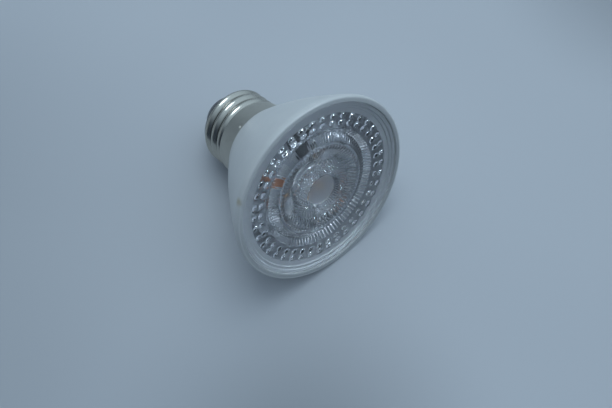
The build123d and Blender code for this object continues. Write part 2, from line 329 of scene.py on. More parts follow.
@dataclass(frozen=True)
class MouldedWhite:
    """Satin white plastic with a faint grain, handling marks and one tan smudge by the rim."""

    colour: Triple = (0.665, 0.67, 0.655)
    shade: Triple = (0.59, 0.60, 0.59)
    cloud: Mottle = Mottle(0.09, 3.0, 0.35, 0.75, tint=0.5, rough=0.12)
    marks: Mottle = Mottle(0.8, 4.0, 0.55, 0.80, tint=0.12, rough=0.06)
    grain: Mottle = Mottle(9.0, 2.0, depth=0.02, strength=0.25)
    smudge: Triple = (0.46, 0.40, 0.28)
    smudge_at: Triple = (-25.9, -18.0, 1.1)
    smudge_reach: Span = (0.5, 2.3)
    smudge_fray: Mottle = Mottle(1.6, 3.0)
    fray_width: float = 0.9
    smudge_share: float = 0.8
    # Colour of the painted shade on the housing's inner wall.
    inside: Triple = (0.31, 0.32, 0.33)
    mouth: float = 31.5
    taper: float = 0.55
    wall_depth: Span = (0.8, 1.4)
    wall_level: Span = (2.0, 3.0)
    # The lip's flat face gets painted shade, strongest on its far side.
    face_shade_share: float = 0.6
    face_inner: Span = (29.3, 29.6)
    face_outer: Span = (30.6, 31.1)
    face_level: Span = (0.25, 0.6)
    shade_side: Span = (-32.0, 8.0)
    roughness: float = 0.40
    scatter: float = 0.08
    scatter_reach: float = 2.0

    def make(self) -> Material:
        """Builds the material, with painted shade on the inner wall and on the lip's far face.

        Returns:
            The material.
        """
        bench = Bench("moulded_white")
        x, y, z = bench.place()
        radius, _, level = bench.polar()
        px, py, pz = self.smudge_at
        away = ((x - px) ** 2.0 + (y - py) ** 2.0 + (z - pz) ** 2.0) ** 0.5
        frayed = away + bench.noise(self.smudge_fray) * self.fray_width
        spot = 1 - frayed.rise(*self.smudge_reach)
        cloud = bench.noise(self.cloud)
        soft = cloud.rise(self.cloud.low, self.cloud.high)
        marks = bench.mottle(self.marks)
        base = bench.blend(soft * self.cloud.tint, self.colour, self.shade)
        base = bench.blend(marks * self.marks.tint, base, self.shade)
        base = bench.blend(spot * self.smudge_share, base, self.smudge)
        # deep is the painted shade on the inner wall, which goes to the inside colour.
        deep = (self.mouth - level * self.taper - radius).rise(*self.wall_depth)
        face = radius.rise(*self.face_inner) * (1 - radius.rise(*self.face_outer))
        # dust here is painted shade on the lip's flat face, rising towards its far side.
        dust = face * (1 - level.rise(*self.face_level)) * y.rise(*self.shade_side)
        painted_shade = (deep * level.rise(*self.wall_level)).larger(dust * self.face_shade_share)
        patchy = (cloud - NOISE_MIDDLE) * self.cloud.rough + marks * self.marks.rough
        return bench.surface(
            Base_Color=bench.blend(painted_shade, base, self.inside),
            Roughness=self.roughness + patchy,
            Normal=bench.bump(bench.noise(self.grain), self.grain),
            Subsurface_Weight=self.scatter,
            Subsurface_Radius=(self.scatter_reach * MM,) * 3,
        )


@dataclass(frozen=True)
class ClearMoulding:
    """Clear moulded plastic with an etched bowl floor and a milky etched outer ring."""

    colour: Triple = (0.825, 0.84, 0.87)
    milk: Triple = (0.84, 0.86, 0.88)
    index: float = 1.56
    roughness: float = 0.03
    haze: Mottle = Mottle(0.35, 4.0, 0.45, 0.85, rough=0.05)
    dust: Mottle = Mottle(3.0, 3.0, 0.62, 0.78, rough=0.06)
    floor_edge: Span = (5.0, 5.4)
    floor_level: Span = (2.4, 2.7)
    ring_edge: Span = (25.5, 26.1)
    etched: float = 0.42
    wall_edge: Span = (8.0, 8.4)
    wall_level: Span = (2.7, 3.0)
    wall_rough: float = 0.03
    milk_rough: float = 0.2
    veil: float = 0.004
    ring_veil: float = 0.22

    def make(self) -> Material:
        """Builds the material, clear with a thin milky veil.

        Returns:
            The material.
        """
        bench = Bench("clear_moulding")
        radius, _, level = bench.polar()
        haze = bench.mottle(self.haze)
        dust = bench.mottle(self.dust)
        floor = (1 - radius.rise(*self.floor_edge)) * (1 - level.rise(*self.floor_level))
        ring = radius.rise(*self.ring_edge)
        wall = level.rise(*self.wall_level) * radius.rise(*self.wall_edge)
        rough = self.roughness + haze * self.haze.rough + dust * self.dust.rough
        rough = rough + floor.larger(ring) * self.etched + wall * self.wall_rough
        clear = bench.shader(
            Base_Color=self.colour, Roughness=rough, Transmission_Weight=1.0, IOR=self.index
        )
        milky = bench.shader(Base_Color=self.milk, Roughness=rough + self.milk_rough)
        return bench.mixed(self.veil * (1 + dust) + ring * self.ring_veil, clear, milky)


@dataclass(frozen=True)
class NickelPlate:
    """Nickel plate with rolled streaks round the axis and grooves darkened by painted shade."""

    colour: Triple = (0.50, 0.485, 0.43)
    # Dark colour of the painted shade in the grooves, which the stains also reach at a small share.
    dull: Triple = (0.07, 0.068, 0.06)
    streak: Mottle = Mottle(1.0, 3.0, rough=0.10, depth=0.01, strength=0.4)
    streak_stretch: Triple = (2.0, 0.4, 3.0)
    stain: Mottle = Mottle(0.35, 4.0, 0.48, 0.78, tint=0.10, rough=0.06)
    groove: Span = (12.1, 12.5)
    groove_shade_share: float = 0.9
    groove_rough: float = 0.08
    skirt: Span = (37.8, 38.6)
    roughness: float = 0.15
    satin: float = 0.20

    def make(self) -> Material:
        """Builds the material, satin on the skirt and shinier on the thread.

        Returns:
            The material.
        """
        bench = Bench("nickel_plate")
        radius, angle, level = bench.polar()
        round_it, out, along = self.streak_stretch
        rolled = bench.vector(angle * round_it, radius * out, level * along)
        streak = bench.noise(self.streak, rolled)
        low = 1 - radius.rise(*self.groove)
        stain = bench.mottle(self.stain)
        rough = self.roughness + streak * self.streak.rough + low * self.groove_rough
        rough = rough + stain * self.stain.rough + (1 - level.rise(*self.skirt)) * self.satin
        # Painted shade darkens the grooves; the stains darken at random.
        groove_shade_and_stain = low * self.groove_shade_share + stain * self.stain.tint
        return bench.surface(
            Base_Color=bench.blend(groove_shade_and_stain, self.colour, self.dull),
            Metallic=1.0,
            Roughness=rough,
            Normal=bench.bump(streak, self.streak),
        )


@dataclass(frozen=True)
class DarkInsulator:
    """Dark glazed insulator with a few pale specks."""

    colour: Triple = (0.018, 0.018, 0.020)
    speck: Triple = (0.10, 0.10, 0.10)
    specks: Mottle = Mottle(5.0, 2.0, 0.70, 0.80)
    flow: Mottle = Mottle(0.5, 3.0, rough=0.15, depth=0.12, strength=0.5)
    roughness: float = 0.10

    def make(self) -> Material:
        """Builds the material.

        Returns:
            The material.
        """
        bench = Bench("dark_insulator")
        flow = bench.noise(self.flow)
        return bench.surface(
            Base_Color=bench.blend(bench.mottle(self.specks), self.colour, self.speck),
            Roughness=self.roughness + flow * self.flow.rough,
            Normal=bench.bump(flow, self.flow),
        )


@dataclass(frozen=True)
class BareMetal:
    """Turned or tinned metal with ring marks and dull patches."""

    name: str
    colour: Triple
    dull: Triple
    roughness: float
    ring_step: float = 0.5
    ring_turn: float = 0.6
    rings: Mottle = Mottle(1.0, 3.0, rough=0.15, depth=0.015, strength=0.4)
    patch: Mottle = Mottle(0.9, 4.0, 0.45, 0.80, tint=0.6, rough=0.15)

    def make(self) -> Material:
        """Builds the material.

        Returns:
            The material.
        """
        bench = Bench(self.name)
        radius, angle, level = bench.polar()
        cut = bench.vector(radius / self.ring_step, angle * self.ring_turn, level)
        rings = bench.noise(self.rings, cut)
        patch = bench.mottle(self.patch)
        return bench.surface(
            Base_Color=bench.blend(patch * self.patch.tint, self.colour, self.dull),
            Metallic=1.0,
            Roughness=self.roughness + rings * self.rings.rough + patch * self.patch.rough,
            Normal=bench.bump(rings, self.rings),
        )


@dataclass(frozen=True)
class SolderMask:
    """White solder mask over copper, greyed all over by painted shade: tracks show as raised,
    slightly greyer bands.
    """

    colour: Triple = (0.45, 0.46, 0.475)
    track: Triple = (0.30, 0.33, 0.35)
    pad: Triple = (0.50, 0.48, 0.42)
    tracks: Mottle = Mottle(0.30, 1.0, tint=0.7, depth=0.04, strength=0.8)
    ring_waves: float = 1.55
    ring_sway: float = 5.0
    ring_band: Span = (0.55, 0.75)
    spokes: float = 9.0
    spoke_sway: float = 3.0
    spoke_band: Span = (0.50, 0.70)
    inner_edge: Span = (8.5, 9.3)
    outer_edge: Span = (20.4, 20.8)
    stain: Mottle = Mottle(0.6, 4.0, 0.50, 0.80, tint=0.18, rough=0.12)
    roughness: float = 0.34

    def make(self) -> Material:
        """Builds the material.

        Returns:
            The material.
        """
        bench = Bench("solder_mask")
        radius, angle, _ = bench.polar()
        sway = bench.noise(self.tracks) - NOISE_MIDDLE
        ring = (radius * self.ring_waves + sway * self.ring_sway).sine().rise(*self.ring_band)
        spoke = (angle * self.spokes + sway * self.spoke_sway).sine().rise(*self.spoke_band)
        inside = radius.rise(*self.inner_edge) * (1 - radius.rise(*self.outer_edge))
        copper = ring.larger(spoke) * inside
        stain = bench.mottle(self.stain)
        base = bench.blend(copper * self.tracks.tint, self.colour, self.track)
        return bench.surface(
            Base_Color=bench.blend(stain * self.stain.tint, base, self.pad),
            Roughness=self.roughness + stain * self.stain.rough,
            Normal=bench.bump(copper, self.tracks),
        )


@dataclass(frozen=True)
class SpeckledBody:
    """Moulded or fired body of a small component, with a fine speckle."""

    name: str
    colour: Triple
    speckle: Triple
    roughness: float
    grain: float = 7.0
    fine: Mottle = Mottle(1.0, 3.0, 0.45, 0.75, tint=0.7, depth=0.02, strength=0.5)
    broad: Mottle = Mottle(0.8, 2.0, rough=0.2)

    def make(self) -> Material:
        """Builds the material.

        Returns:
            The material.
        """
        bench = Bench(self.name)
        fine = bench.noise(replace(self.fine, scale=self.grain))
        share = fine.rise(self.fine.low, self.fine.high) * self.fine.tint
        broad = bench.noise(self.broad) - NOISE_MIDDLE
        return bench.surface(
            Base_Color=bench.blend(share, self.colour, self.speckle),
            Roughness=self.roughness + broad * self.broad.rough,
            Normal=bench.bump(fine, self.fine),
        )


@dataclass(frozen=True)
class SoftShade:
    """A broad painted shadow that the room casts on the table."""

    across: float
    away: float
    reach: float
    depth: float


@dataclass(frozen=True)
class PaleTable:
    """Pale matt table top with broad painted shadows, seen only from above."""

    colour: Triple = (0.555, 0.568, 0.590)
    worn: Triple = (0.525, 0.540, 0.565)
    # Colour of the painted shadows.
    dim: Triple = (0.27, 0.28, 0.295)
    cloud: Mottle = Mottle(0.006, 2.0, 0.35, 0.65, tint=0.7)
    speck: Mottle = Mottle(0.45, 2.0, 0.74, 0.80, tint=0.15)
    roughness: float = 0.62
    sheen: float = 0.1
    right: Triple = (0.7562, 0.2447, -0.6068)
    ahead: Triple = (0.6518, -0.2836, 0.7033)
    painted_shadows: Tuple[SoftShade, ...] = (
        SoftShade(-8.0, -78.0, 72.0, 0.75),
        SoftShade(135.0, 115.0, 75.0, 0.75),
        SoftShade(-160.0, 0.0, 150.0, 0.50),
        SoftShade(-100.0, -75.0, 80.0, 0.28),
    )

    def make(self) -> Material:
        """Builds the material, clear where it is seen from below.

        Returns:
            The material.
        """
        bench = Bench("pale_table")
        x, y, z = bench.place()
        across, away = (x * a + y * b + z * c for a, b, c in (self.right, self.ahead))
        worn = bench.mottle(self.cloud) * self.cloud.tint
        worn = worn + bench.mottle(self.speck) * self.speck.tint
        base = bench.blend(worn, self.colour, self.worn)
        # Each shade is a painted shadow, darkest in its middle.
        for shade in self.painted_shadows:
            far = ((across - shade.across) ** 2.0 + (away - shade.away) ** 2.0) ** 0.5
            base = bench.blend((1 - far.rise(0.0, shade.reach)) * shade.depth, base, self.dim)
        top = bench.shader(
            Base_Color=base, Roughness=self.roughness, Specular_IOR_Level=self.sheen
        )
        clear = bench.node("ShaderNodeBsdfTransparent").outputs[0]
        under = bench.node("ShaderNodeNewGeometry").outputs["Backfacing"]
        return bench.mixed(under, top, clear)


WHITE = MouldedWhite()
CLEAR = ClearMoulding()
NICKEL = NickelPlate()
INSULATOR = DarkInsulator()
BRASS = BareMetal("brass_plate", (0.70, 0.55, 0.28), (0.42, 0.31, 0.15), 0.28)
TIN = BareMetal("tinned", (0.74, 0.74, 0.73), (0.48, 0.48, 0.47), 0.26)
# The sink sheet's grey is partly its dull sheet and partly painted shade inside the lamp.
ALUMINIUM = BareMetal("sink_sheet", (0.46, 0.47, 0.49), (0.36, 0.38, 0.40), 0.40, 0.8)
# The solder mask is greyed by painted shade inside the lamp.
MASK = SolderMask()
# The light sources' white packages are greyed by painted shade.
LED_BODY = SpeckledBody("led_body", (0.50, 0.50, 0.49), (0.44, 0.44, 0.43), 0.35)
PHOSPHOR = SpeckledBody("phosphor_gel", (0.82, 0.34, 0.05), (0.90, 0.50, 0.10), 0.30, 4.0)
EPOXY = SpeckledBody("black_epoxy", (0.012, 0.013, 0.015), (0.030, 0.032, 0.035), 0.42)
GLAZE = SpeckledBody("resistor_glaze", (0.010, 0.011, 0.013), (0.022, 0.022, 0.026), 0.22)
CERAMIC = SpeckledBody("brown_ceramic", (0.46, 0.15, 0.045), (0.54, 0.21, 0.07), 0.40)
RED_WIRE = SpeckledBody("red_insulation", (0.42, 0.03, 0.025), (0.50, 0.05, 0.04), 0.42, 3.0)
BLACK_WIRE = SpeckledBody(
    "black_insulation", (0.015, 0.015, 0.016), (0.03, 0.03, 0.03), 0.42, 3.0
)
LACQUER = SpeckledBody("green_lacquer", (0.07, 0.22, 0.15), (0.10, 0.28, 0.20), 0.25, 3.0)
TABLE = PaleTable()


# Mesh tools


@dataclass(frozen=True)
class Corner:
    """A corner of a turned outline, rounded where it has a round."""

    radius: float
    level: float
    round: float = 0.0

    def point(self) -> Vector:
        """The corner in the outline's plane."""
        return Vector((self.radius, self.level))


def rounded(corners: Sequence[Corner], closed: bool, steps: int = 5) -> np.ndarray:
    """Rounds an outline's corners.

    Args:
        corners: the outline in order.
        closed: whether the last corner joins the first.
        steps: points along each round.

    Returns:
        The outline's points, radius and level in each row.
    """
    longest = 0.48
    points = []
    count = len(corners)
    for index, corner in enumerate(corners):
        inner = closed or 0 < index < count - 1
        here = corner.point()
        if corner.round <= 0 or not inner:
            points.append(here)
            continue
        back = corners[index - 1].point() - here
        ahead = corners[(index + 1) % count].point() - here
        reach = corner.round / math.tan(back.angle(ahead) / 2)
        reach = min(reach, longest * back.length, longest * ahead.length)
        start = here + back.normalized() * reach
        end = here + ahead.normalized() * reach
        for t in np.linspace(0, 1, steps + 1).tolist():
            points.append(start * (1 - t) ** 2 + here * (2 * t * (1 - t)) + end * t**2)
    return np.array([tuple(p) for p in points])


def turns(count: int) -> np.ndarray:
    """Angles of evenly spaced points round the axis."""
    return np.arange(count) * FULL_TURN / count


def spread(outline: np.ndarray, count: int) -> Tuple[np.ndarray, np.ndarray]:
    """Radii and levels of an outline, repeated for each point round the axis."""
    return np.outer(outline[:, 0], np.ones(count)), np.outer(outline[:, 1], np.ones(count))


def eased(share: np.ndarray) -> np.ndarray:
    """Goes smoothly from 0 to 1 with a share, and is level on both sides."""
    share = np.clip(share, 0, 1)
    return share * share * (3 - 2 * share)


def join(work: bmesh.types.BMesh, lower: Loop, upper: Loop) -> None:
    """Joins two closed loops of points by a band of faces."""
    for step in range(len(lower)):
        work.faces.new((lower[step - 1], lower[step], upper[step], upper[step - 1]))


def stand(name: str, work: bmesh.types.BMesh, crease: float = 30.0) -> Piece:
    """Puts a piece in the scene with smooth faces and sharp creases.

    Args:
        name: the piece's name.
        work: its faces in millimetres, which are freed.
        crease: edges that bend by more degrees than this stay sharp.

    Returns:
        The object.
    """
    bmesh.ops.scale(work, vec=(MM, MM, MM), verts=work.verts)
    bmesh.ops.recalc_face_normals(work, faces=work.faces)
    mesh = bpy.data.meshes.new(name)
    work.to_mesh(mesh)
    work.free()
    mesh.polygons.foreach_set("use_smooth", [True] * len(mesh.polygons))
    mesh.set_sharp_from_angle(angle=math.radians(crease))
    piece = bpy.data.objects.new(name, mesh)
    bpy.context.scene.collection.objects.link(piece)
    return piece


def turned(
    name: str, radii: np.ndarray, levels: np.ndarray, poles: bool, crease: float = 30.0
) -> Piece:
    """Makes a form turned about the lamp's axis.

    Args:
        name: the piece's name.
        radii: radius of each row's points, rows by points round the axis.
        levels: level of the same points.
        poles: whether the first and last rows close on the axis, or else join each other.
        crease: edges that bend by more degrees than this stay sharp.

    Returns:
        The object.
    """
    angles = turns(radii.shape[1])
    points = np.stack([radii * np.cos(angles), radii * np.sin(angles), levels], axis=-1)
    work = bmesh.new()
    loops = [[work.verts.new(point) for point in row] for row in points.tolist()]
    for lower, upper in zip(loops, loops[1:]):
        join(work, lower, upper)
    if not poles:
        join(work, loops[-1], loops[0])
        return stand(name, work, crease)
    for end in (0, -1):
        tip = work.verts.new((0, 0, levels[end].mean()))
        for step in range(len(angles)):
            work.faces.new((tip, loops[end][step - 1], loops[end][step]))
    return stand(name, work, crease)


def lathe(name: str, corners: Sequence[Corner], poles: bool, count: int) -> Piece:
    """Turns a plain outline, which starts and ends on the axis where it has poles."""
    return turned(name, *spread(rounded(corners, not poles), count), poles)


@dataclass
class Kit:
    """Collects small solids of one piece in one mesh."""

    work: bmesh.types.BMesh = field(default_factory=bmesh.new)
    bevel_steps: int = 2
    cone_shares: Tuple[float, ...] = (0.0, 0.25, 0.5, 0.8, 1.0)
    cone_hollow: float = 1.8
    cone_points: int = 24

    def skin(
        self, outlines: Sequence[Sequence[Triple]], spot: Matrix, bevel: float = 0.0
    ) -> None:
        """Adds one closed solid that runs through outlines, with a face at each end.

        Args:
            outlines: points of each outline, equal in number.
            spot: where the outlines' origin is.
            bevel: width of the bevel on every edge.
        """
        old = set(self.work.verts)
        loops = [[self.work.verts.new(point) for point in outline] for outline in outlines]
        for lower, upper in zip(loops, loops[1:]):
            join(self.work, lower, upper)
        self.work.faces.new(loops[0][::-1])
        self.work.faces.new(loops[-1])
        if bevel:
            edges = {edge for loop in loops for vert in loop for edge in vert.link_edges}
            bmesh.ops.bevel(
                self.work,
                geom=list(edges),
                offset=bevel,
                segments=self.bevel_steps,
                affect="EDGES",
                profile=0.5,
            )
        made = [vert for vert in self.work.verts if vert not in old]
        bmesh.ops.transform(self.work, matrix=spot, verts=made)

    def stack(
        self, base: Sequence[float], rings: Sequence[Span], spot: Matrix, bevel: float
    ) -> None:
        """Adds one bevelled solid from rectangular rings.

        Args:
            base: length and width of the outline that stands on the board.
            rings: how far each ring lies inside the outline, and its height over the board.
            spot: where the middle of its base is.
            bevel: width of the bevel.
        """
        outlines = []
        for inset, high in rings:
            x, y = base[0] / 2 - inset, base[1] / 2 - inset
            outlines.append([(-x, -y, -high), (x, -y, -high), (x, y, -high), (-x, y, -high)])
        self.skin(outlines, spot, bevel)

    def block(self, size: Triple, spot: Matrix, bevel: float, taper: float = 0.0) -> None:
        """Adds a bevelled block whose sides lean in at the top by a taper."""
        self.stack(size[:2], ((0.0, 0.0), (taper, size[2])), spot, bevel)

    def ribbon(self, outline: Sequence[Span], width: float, spot: Matrix) -> None:
        """Adds a bent strip, from its side view as distance out and height over the board."""
        sides = (width / 2, -width / 2)
        self.skin([[(x, out, -high) for out, high in outline] for x in sides], spot)

    def cone(self, base: float, top: float, height: float, spot: Matrix) -> None:
        """Adds a small hollow-sided cone that stands on the board.

        Args:
            base: radius at the board.
            top: radius at its tip.
            height: how far it stands out.
            spot: where the middle of its base is.
        """
        outlines = []
        for share in self.cone_shares:
            radius = top + (base - top) * (1 - share) ** self.cone_hollow
            around = turns(self.cone_points).tolist()
            outlines.append(
                [(radius * math.cos(t), radius * math.sin(t), -share * height) for t in around]
            )
        self.skin(outlines, spot)


def dress(piece: Piece, finish: Finish, slot: Slot, *nodes: str) -> Piece:
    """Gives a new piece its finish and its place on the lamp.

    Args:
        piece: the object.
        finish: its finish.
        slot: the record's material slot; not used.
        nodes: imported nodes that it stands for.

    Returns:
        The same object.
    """
    piece.data.materials.append(paint(finish))
    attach(piece, ROOT_BODY)
    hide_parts(*nodes)
    return piece


def repaint(node: str, finish: Finish) -> Piece:
    """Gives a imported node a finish.

    Args:
        node: the node's name.
        finish: the finish.

    Returns:
        The node's object.
    """
    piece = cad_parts[node]
    for holder in piece.material_slots:
        holder.link = "OBJECT"
        holder.material = paint(finish)
    return piece


# Sub-assemblies of the lamp


@dataclass
class Housing:
    """White tapered moulding with a rounded lip and the spigot under the cap."""

    rim_radius: float = 31.5
    mouth_radius: float = 29.7
    ledge_radius: float = 28.9
    ledge_level: float = 2.53
    rim_height: float = 1.8
    bulge: float = 0.9
    neck_radius: float = 15.0
    neck_level: float = 30.0
    wall: float = 1.7
    spigot_radius: float = 11.6
    spigot_bore: float = 10.6
    spigot_level: float = 48.0
    flank_steps: int = 24
    count: int = 288

    def flank(self) -> List[Corner]:
        """Follows the bulged flank from the rim to the neck.

        Returns:
            The corners between its ends.
        """
        start = Vector((self.rim_radius, self.rim_height))
        run = Vector((self.neck_radius, self.neck_level)) - start
        out = Vector((run.y, -run.x)).normalized()
        corners = []
        for step in range(1, self.flank_steps):
            t = step / self.flank_steps
            spot = start + run * t + out * (4 * self.bulge * t * (1 - t))
            corners.append(Corner(spot.x, spot.y))
        return corners

    def build(self) -> List[Piece]:
        """Makes and dresses the moulding.

        Returns:
            The piece.
        """
        inner_neck = self.neck_level - self.wall
        corners = [
            Corner(self.mouth_radius, 0.0, round=0.35),
            Corner(self.rim_radius, 0.0, round=0.65),
            Corner(self.rim_radius, self.rim_height),
            *self.flank(),
            Corner(self.neck_radius, self.neck_level, round=0.3),
            Corner(self.spigot_radius, self.neck_level),
            Corner(self.spigot_radius, self.spigot_level, round=0.2),
            Corner(self.spigot_bore, self.spigot_level, round=0.2),
            Corner(self.spigot_bore, inner_neck),
            Corner(self.neck_radius - self.wall, inner_neck, round=0.8),
            Corner(self.ledge_radius, self.ledge_level),
            Corner(self.mouth_radius, self.ledge_level),
        ]
        piece = lathe("housing_moulding", corners, False, self.count)
        return [dress(piece, WHITE, Slot.WHITE, "housing")]


def ramp(start: Span, end: Span, count: int, zone: Zone = Zone.PLAIN) -> List[Row]:
    """Evenly spaced rows of the lens between two points.

    Args:
        start: radius and level of the first row.
        end: radius and level of the last row.
        count: how many rows there are.
        zone: their relief.

    Returns:
        The rows.
    """
    radii, levels = (np.linspace(first, last, count) for first, last in zip(start, end))
    return [(radius, level, zone) for radius, level in zip(radii, levels)]


def plain_rows(corners: Sequence[Corner], steps: int) -> List[Row]:
    """Rows of the lens along an outline without relief."""
    return [(radius, level, Zone.PLAIN) for radius, level in rounded(corners, False, steps)]


@dataclass
class MouldedLens:
    """Clear lens: stepped plate, beads, hatched boss with a bowl, prism ring and collimator."""

    count: int = 576
    crease: float = 28.0
    edge_radius: float = 29.55
    front: float = 0.5
    plate: float = 1.5
    back: float = 2.48
    outer_step: float = 28.4
    inner_step: float = 27.4
    step_width: float = 0.12
    step_rows: int = 3
    step_land: float = 0.5
    plate_land: float = 0.3
    plate_rows: int = 7
    bowl_middle: float = 0.6
    bowl_radius: float = 6.0
    bowl_draft: float = 0.9
    bowl_floor: float = 1.75
    boss_front: float = 0.15
    boss_lip: float = 0.4
    hatch_land: float = 0.25
    hatch_sink: float = 0.06
    hatch_end: float = 10.4
    hatch_depth: float = 0.30
    hatch_count: int = 22
    hatch_climb: float = 1.3
    hatch_rows: int = 34
    bead_land: float = 0.2
    bead_inner: float = 22.45
    bead_outer: float = 24.65
    bead_radius: float = 1.2
    bead_height: float = 0.62
    bead_count: int = 40
    bead_rows: int = 29
    flange_land: float = 2.0
    prism_land: float = 0.15
    prism_radius: float = 20.6
    prism_tip_radius: float = 18.7
    prism_inner_tip: float = 18.5
    prism_inner_radius: float = 15.9
    prism_tip: float = 5.5
    prism_rows: int = 7
    inside_rows: int = 4
    prism_flutes: int = 96
    prism_share: float = 0.018
    inside_share: float = 0.006
    collimator_radius: float = 15.2
    collimator_curve: float = 1.35
    collimator_rows: int = 12
    collimator_flutes: int = 72
    collimator_share: float = 0.08
    foot_radius: float = 8.4
    foot_level: float = 9.9
    foot_land: float = 0.05
    cavity_radius: float = 7.0
    cavity_draft: float = 0.4
    cavity_top: float = 5.6
    cavity_flat: float = 3.0
    dome_rise: float = 0.9
    dome_middle: float = 0.5
    dome_rows: int = 9

    def front_rows(self) -> List[Row]:
        """Runs over the front, from the bowl's middle to the edge and round it.

        Returns:
            The rows.
        """
        lip = self.bowl_radius + self.boss_lip
        bowl = [
            Corner(self.bowl_middle, self.bowl_floor),
            Corner(self.bowl_radius - self.bowl_draft, self.bowl_floor, round=0.5),
            Corner(self.bowl_radius, self.boss_front, round=0.2),
            Corner(lip, self.boss_front, round=0.2),
            Corner(self.hatch_end, self.plate),
        ]
        edge = [
            Corner(self.outer_step + self.step_land, self.front),
            Corner(self.edge_radius, self.front, round=0.3),
            Corner(self.edge_radius, self.back, round=0.15),
            Corner(self.prism_radius + self.flange_land, self.back),
        ]
        hatch_start = (lip + self.hatch_land, self.boss_front + self.hatch_sink)
        hatch_end = (self.hatch_end, self.plate + self.hatch_sink)
        plate_start = (self.hatch_end + self.plate_land, self.plate)
        first = self.bead_inner - self.bead_radius
        last = self.bead_outer + self.bead_radius
        rows = plain_rows(bowl, steps=6)[:-1]
        rows += ramp(hatch_start, hatch_end, self.hatch_rows, Zone.HATCH)
        rows += ramp(plate_start, (first - self.bead_land, self.plate), self.plate_rows)
        rows += ramp((first, self.plate), (last, self.plate), self.bead_rows, Zone.BEADS)
        rows.append((last + self.plate_land, self.plate, Zone.PLAIN))
        middle = (self.front + self.plate) / 2
        steps = ((self.inner_step, self.plate, middle), (self.outer_step, middle, self.front))
        for radius, low, high in steps:
            start, end = (radius - self.step_width, low), (radius + self.step_width, high)
            rows += ramp(start, end, self.step_rows)
        return rows + plain_rows(edge, steps=4)

    def back_rows(self) -> List[Row]:
        """Runs over the back, from the prism ring's root to the cavity's middle.

        Returns:
            The rows.
        """
        root = (self.prism_radius, self.back)
        tip = (self.prism_tip_radius, self.prism_tip)
        inner_tip = (self.prism_inner_tip, self.prism_tip)
        inner_root = (self.prism_inner_radius, self.back)
        rows = [(self.prism_radius + self.prism_land, self.back, Zone.PLAIN)]
        rows += ramp(root, tip, self.prism_rows, Zone.PRISM)
        rows.append((*inner_tip, Zone.PLAIN))
        rows += ramp(inner_tip, inner_root, self.inside_rows, Zone.PRISM_INSIDE)[1:]
        for t in np.linspace(0, 1, self.collimator_rows):
            narrowed = (self.foot_radius - self.collimator_radius) * t**self.collimator_curve
            level = self.back + (self.foot_level - self.back) * t
            rows.append((self.collimator_radius + narrowed, level, Zone.COLLIMATOR))
        foot = self.foot_radius * (1 - self.collimator_share) - self.foot_land
        cavity = [
            Corner(foot, self.foot_level),
            Corner(self.cavity_radius, self.foot_level, round=0.15),
            Corner(self.cavity_radius - self.cavity_draft, self.cavity_top, round=0.5),
            Corner(self.cavity_flat, self.cavity_top),
        ]
        rows += plain_rows(cavity, steps=4)[:-1]
        wide = rows[-1][0]
        for radius in np.linspace(wide, self.dome_middle, self.dome_rows)[1:]:
            level = self.cavity_top + self.dome_rise * (1 - (radius / wide) ** 2)
            rows.append((radius, level, Zone.PLAIN))
        return rows

    def beads(self, radii: np.ndarray, angles: np.ndarray) -> np.ndarray:
        """Height of the bead ring.

        Args:
            radii: radius of each point.
            angles: angle of each point.

        Returns:
            How far each point stands out of the plate.
        """
        pitch = FULL_TURN / self.bead_count
        off = (angles / pitch + 0.5) % 1.0 - 0.5
        height = np.zeros(np.broadcast(radii, angles).shape)
        for row in (self.bead_inner, self.bead_outer):
            across = off * pitch * row
            away = (across**2 + (radii - row) ** 2) / self.bead_radius**2
            height = np.maximum(height, self.bead_height * np.clip(1 - away, 0, 1))
        return height

    def hatch(self, radii: np.ndarray, angles: np.ndarray) -> np.ndarray:
        """Depth of the crossed grooves.

        Args:
            radii: radius of each point.
            angles: angle of each point.

        Returns:
            How far each point lies under the boss's slope.
        """
        pace = self.hatch_count / self.hatch_end * self.hatch_climb
        climb = (radii - self.bowl_radius) * pace
        left = np.abs(np.sin(self.hatch_count * angles + climb))
        right = np.abs(np.sin(self.hatch_count * angles - climb))
        return self.hatch_depth * (1 - np.minimum(left, right))

    def build(self) -> List[Piece]:
        """Makes and dresses the lens.

        Returns:
            The piece.
        """
        rows = self.front_rows() + self.back_rows()
        angles = turns(self.count)[None, :]
        radii, levels = spread(np.array([row[:2] for row in rows]), self.count)
        zones = np.array([row[2].value for row in rows])
        in_beads = zones == Zone.BEADS.value
        levels[in_beads] -= self.beads(radii[in_beads], angles)
        in_hatch = zones == Zone.HATCH.value
        levels[in_hatch] += self.hatch(radii[in_hatch], angles)
        walls = (
            (Zone.PRISM, self.prism_flutes, self.prism_share),
            (Zone.PRISM_INSIDE, self.prism_flutes, self.inside_share),
            (Zone.COLLIMATOR, self.collimator_flutes, self.collimator_share),
        )
        for zone, flutes, share in walls:
            wave = 1 - np.abs(np.sin(flutes / 2 * angles))
            radii[zones == zone.value] *= 1 - share * wave
        piece = turned("lens_moulding", radii, levels, True, self.crease)
        return [dress(piece, CLEAR, Slot.CLEAR, "lens")]


